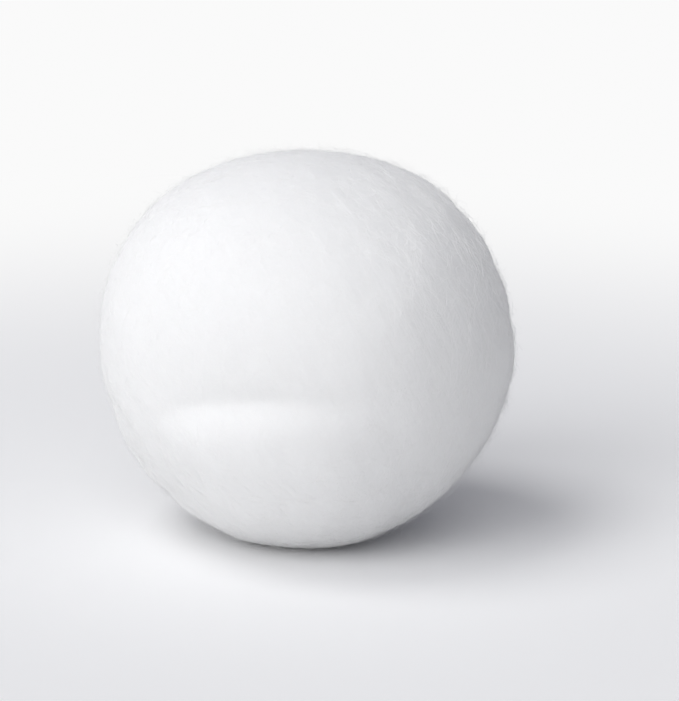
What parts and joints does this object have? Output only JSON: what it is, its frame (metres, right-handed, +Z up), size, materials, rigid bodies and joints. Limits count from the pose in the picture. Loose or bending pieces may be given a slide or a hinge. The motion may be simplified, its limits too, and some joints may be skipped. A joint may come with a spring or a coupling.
{
  "type": "cotton ball",
  "caption": "Soft ball of rolled carded cotton with a shallow lap crease across the front, tucked spiral ends and a small flat spot it rests on; for wiping, dabbing and padding.",
  "frame": {"origin": "middle of the ball's footprint, on the surface that it rests on", "axes": "+Z up; -Y to the front, where the lap's crease crosses; +X to the right, where the roll's raised end lies"},
  "size_m": [0.0334, 0.0324, 0.0312],
  "materials": {
    "cotton": "bleached white, matt, loose carded fibres"
  },
  "bodies": {
    "root": {"cotton_ball": "cotton"}
  },
  "joints": []
}
